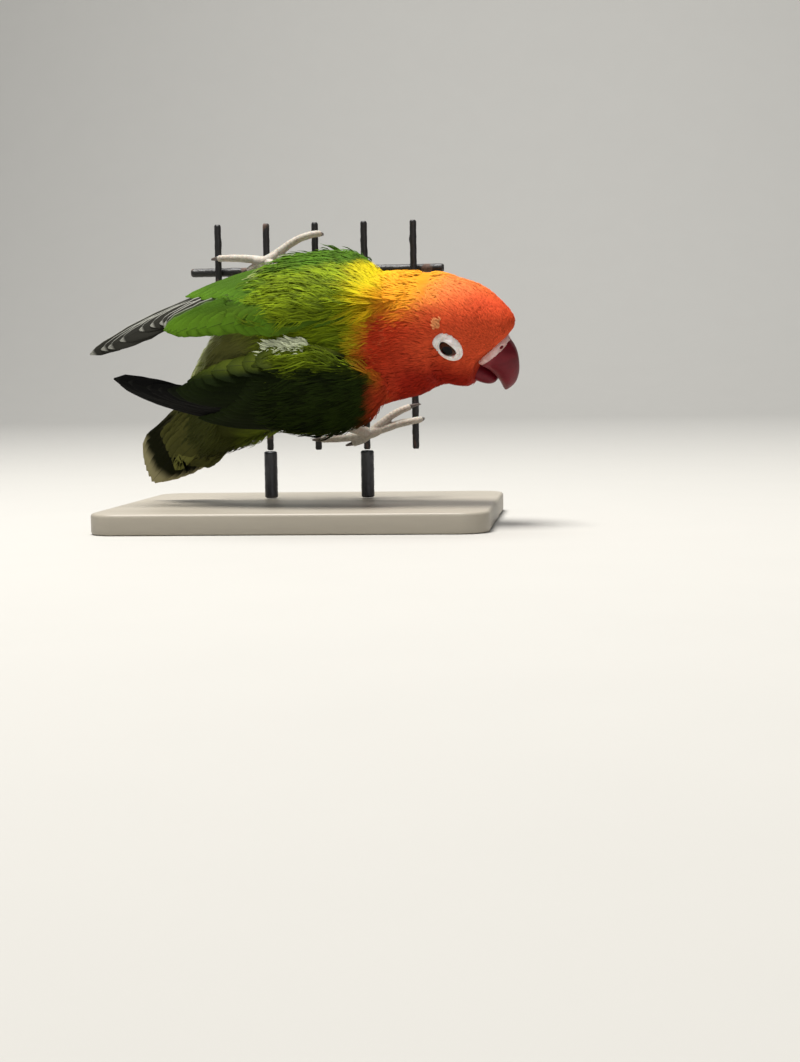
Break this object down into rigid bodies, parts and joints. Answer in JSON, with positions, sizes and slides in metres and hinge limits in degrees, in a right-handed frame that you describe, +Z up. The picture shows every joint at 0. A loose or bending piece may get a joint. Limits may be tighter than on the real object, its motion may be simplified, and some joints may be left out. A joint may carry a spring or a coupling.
{
  "type": "eye-ringed lovebird",
  "caption": "Life-size lovebird with a red bill and orange head, clinging sideways to a short cut panel of black wires on a plain display stand.",
  "frame": {"origin": "centre of the underside of the stand's base, on the surface that it stands on", "axes": "+Z up, +X towards the bird's head along its level body, -Y the way its back faces, +Y towards the wires that it grips"},
  "size_m": [0.1246, 0.092, 0.09],
  "materials": {
    "green_plumage": "matt overlapping feathers, yellow-green on the back",
    "dark_green_plumage": "matt overlapping feathers, dark green with blackish flight feathers",
    "orange_plumage": "matt short feathers, yellow at the back to orange-red",
    "red_plumage": "matt short feathers, orange crown and redder face, with a bare white eye ring",
    "olive_plumage": "matt feathers, greyish olive with pale tips",
    "cere": "bare whitish skin",
    "bill": "smooth horn, soft gloss",
    "eye": "wet gloss, dark brown",
    "foot_skin": "dry ringed scales",
    "claw": "smooth horn",
    "wire": "worn black paint with small lumps and rust",
    "stand_board": "satin varnish",
    "stand_rod": "satin black"
  },
  "bodies": {
    "root": {"torso": "green_plumage", "neck": "orange_plumage", "head": "red_plumage", "cere": "cere", "bill_upper": "bill", "bill_lower": "bill", "eye_left": "eye", "eye_right": "eye", "wing_left": "green_plumage", "wing_right": "dark_green_plumage", "tail": "olive_plumage", "thigh_left": "olive_plumage", "shank_left": "foot_skin", "foot_left": "foot_skin", "claw_left_1": "claw", "claw_left_2": "claw", "claw_left_3": "claw", "claw_left_4": "claw", "thigh_right": "olive_plumage", "shank_right": "foot_skin", "foot_right": "foot_skin", "claw_right_1": "claw", "claw_right_2": "claw", "claw_right_3": "claw", "claw_right_4": "claw", "perch_wire_1": "wire", "perch_wire_2": "wire", "perch_wire_3": "wire", "perch_wire_4": "wire", "perch_wire_5": "wire", "perch_crossbar": "wire", "stand_base": "stand_board", "stand_rod_1": "stand_rod", "stand_rod_2": "stand_rod"}
  },
  "joints": []
}
